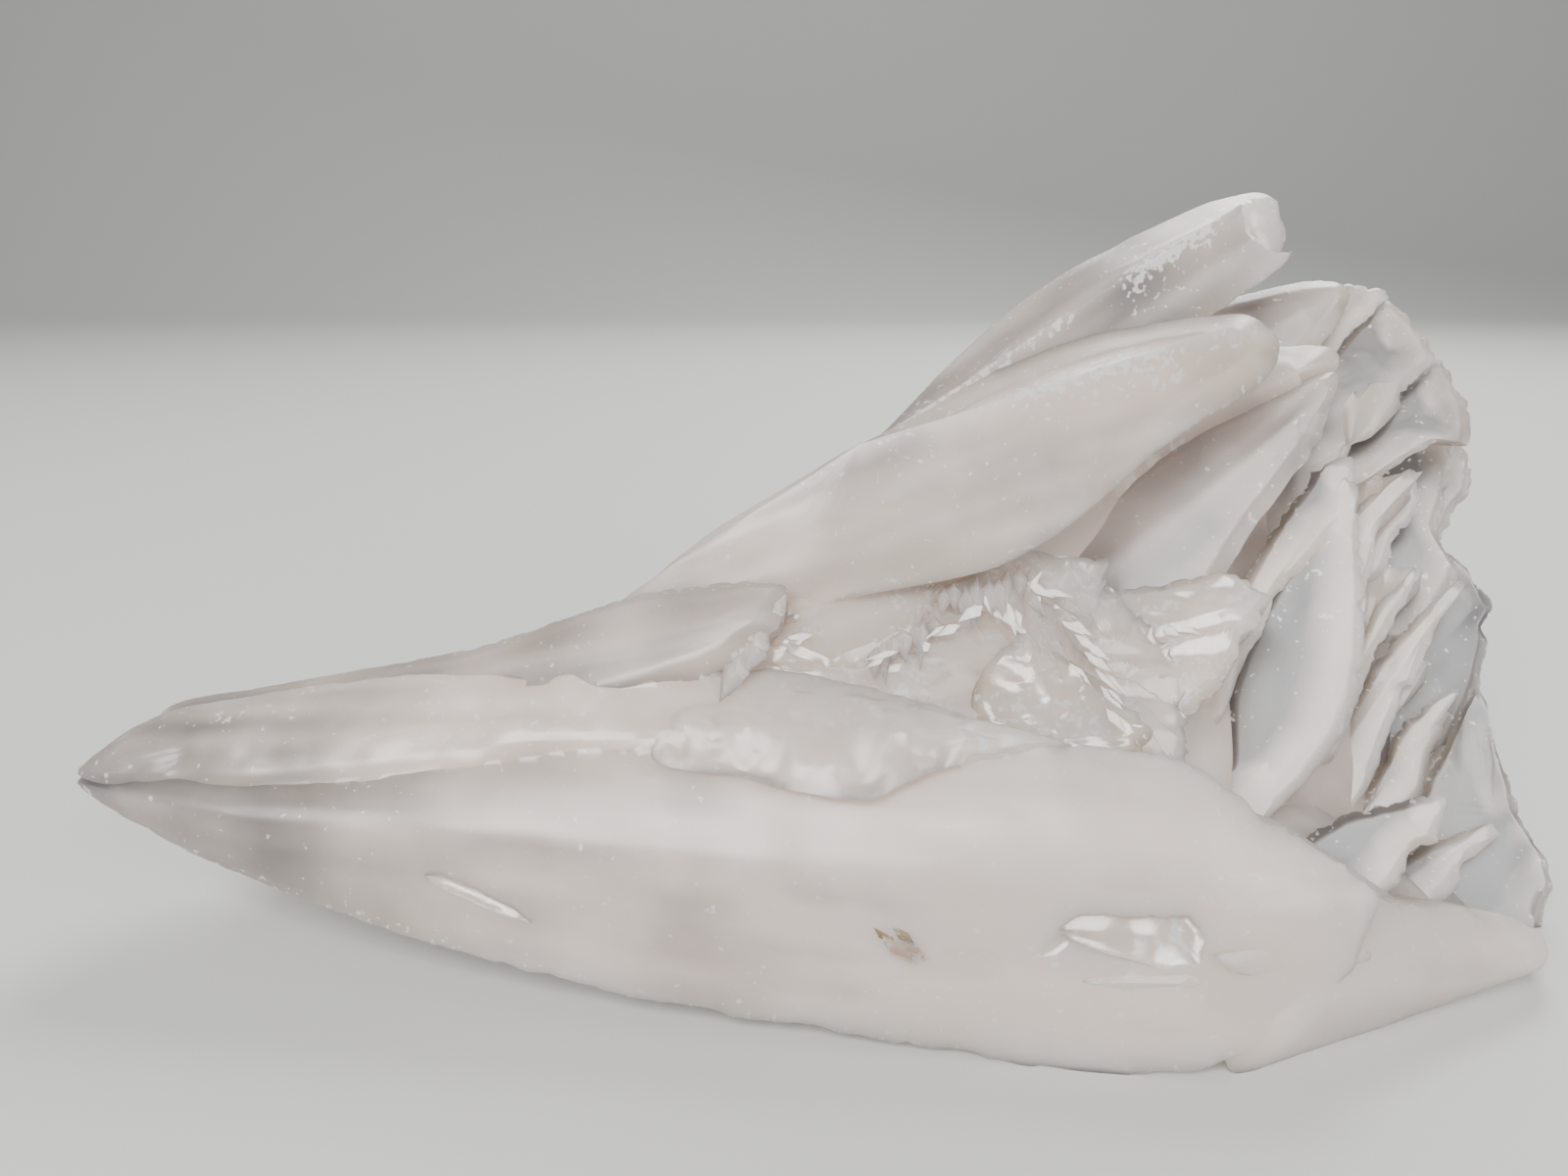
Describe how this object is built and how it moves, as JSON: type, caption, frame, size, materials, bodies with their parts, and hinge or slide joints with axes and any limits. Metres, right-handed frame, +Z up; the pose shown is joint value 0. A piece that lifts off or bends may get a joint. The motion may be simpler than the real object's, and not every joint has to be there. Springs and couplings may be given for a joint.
{
  "type": "calcite crystal",
  "caption": "Milky calcite crystal group: long blades that start at one closed tip and spread into blunt fingers and a fan of thin ragged plates, cut flat underneath so that it rests.",
  "frame": {"origin": "under the middle of the bounding box, on the resting plane", "axes": "+X along the length, from the closed tip to the spread end; -Y towards the big front blade; +Z up"},
  "size_m": [0.121, 0.0558, 0.0575],
  "materials": {
    "milky_calcite": "frosted, half-clear calcite with glossy cleavage faces"
  },
  "bodies": {
    "root": {"calcite_crystal": "milky_calcite"}
  },
  "joints": []
}
